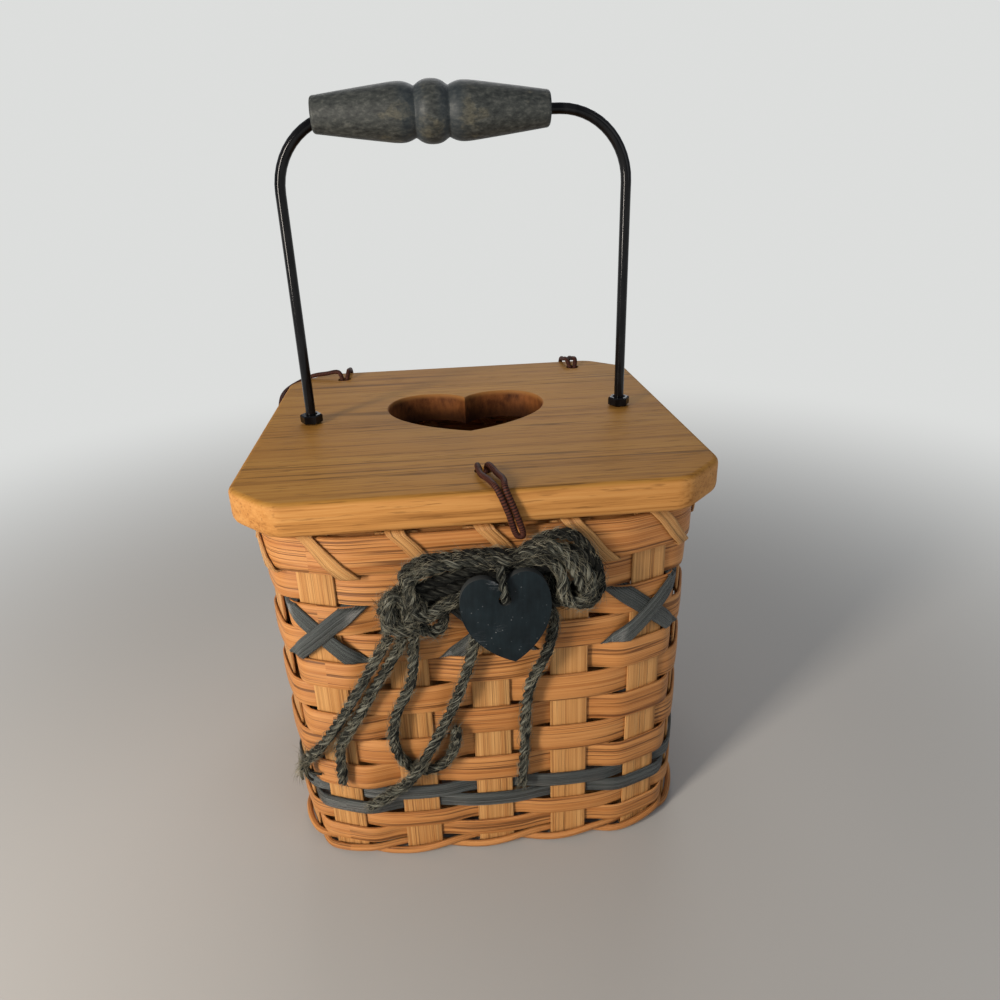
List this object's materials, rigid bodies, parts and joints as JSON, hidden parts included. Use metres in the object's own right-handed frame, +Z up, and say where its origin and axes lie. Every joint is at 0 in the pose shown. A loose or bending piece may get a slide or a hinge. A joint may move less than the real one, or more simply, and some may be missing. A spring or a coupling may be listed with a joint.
{
  "type": "tissue basket",
  "caption": "Woven splint basket for a tissue cube, with a tied-on board lid that has a heart-shaped opening, a wire bail with a turned grip, and a twine bow.",
  "frame": {"origin": "middle of the woven base, on the plane it rests on", "axes": "+Z up, the front with the bow faces -Y, +X to the right seen from the front"},
  "size_m": [0.1551, 0.1673, 0.2553],
  "materials": {
    "stake_reed": "pale flat reed, dry satin",
    "weaver_reed": "honey-stained flat reed with dark streaks, satin",
    "dyed_reed": "blue-grey dyed reed, dry",
    "lid_board": "straight-grained pale tan board, satin",
    "black_wire": "black, semi-gloss",
    "grip_wood": "charcoal-stained turned wood, worn",
    "tie_cord": "dark red-brown elastic cord",
    "bow_twine": "dark grey-green plied jute, fuzzy",
    "tag_wood": "dark painted wood with light scratches"
  },
  "bodies": {
    "basket": {"stake_front_back_1": "stake_reed", "stake_front_back_2": "stake_reed", "stake_front_back_3": "stake_reed", "stake_front_back_4": "stake_reed", "stake_front_back_5": "stake_reed", "stake_left_right_1": "stake_reed", "stake_left_right_2": "stake_reed", "stake_left_right_3": "stake_reed", "stake_left_right_4": "stake_reed", "stake_left_right_5": "stake_reed", "weaver_row_1": "weaver_reed", "weaver_row_2": "weaver_reed", "weaver_row_3": "weaver_reed", "weaver_row_4": "weaver_reed", "weaver_row_5": "weaver_reed", "weaver_row_6": "weaver_reed", "weaver_row_7": "weaver_reed", "weaver_row_8": "weaver_reed", "weaver_row_9": "weaver_reed", "weaver_row_10": "weaver_reed", "dyed_weaver_upper": "dyed_reed", "dyed_weaver_lower": "dyed_reed", "foot_twine_a": "weaver_reed", "foot_twine_b": "weaver_reed", "cross_strip_under": "dyed_reed", "cross_strip_over": "dyed_reed", "rim_outer": "weaver_reed", "rim_inner": "weaver_reed", "rim_lashing": "stake_reed", "bow_loops": "bow_twine", "bow_tail_1": "bow_twine", "bow_tail_2": "bow_twine", "bow_tail_3": "bow_twine", "bow_tail_4": "bow_twine", "bow_tail_5": "bow_twine"},
    "lid": {"lid": "lid_board", "bail_wire": "black_wire", "nut_upper_left": "black_wire", "nut_upper_right": "black_wire", "nut_lower_left": "black_wire", "nut_lower_right": "black_wire", "front_tie": "tie_cord", "back_left_tie": "tie_cord", "back_right_tie": "tie_cord"},
    "grip": {"grip": "grip_wood"},
    "tag": {"heart_tag": "tag_wood", "tag_string": "bow_twine"}
  },
  "joints": [
    {"name": "lid_hinge", "type": "hinge", "parent": "basket", "child": "lid", "pos_m": [0, 0.0758, 0.1312], "axis": [-1, 0, 0], "range_deg": [0, 110], "deforming": ["back_left_tie", "back_right_tie"]},
    {"name": "grip_spin", "type": "hinge", "parent": "lid", "child": "grip", "pos_m": [-0.0067, 0, 0.2451], "axis": [1, 0, 0], "continuous": true},
    {"name": "tag_swing", "type": "hinge", "parent": "basket", "child": "tag", "pos_m": [0.0035, -0.0842, 0.1218], "axis": [-1, 0, 0], "range_deg": [0, 60]}
  ]
}
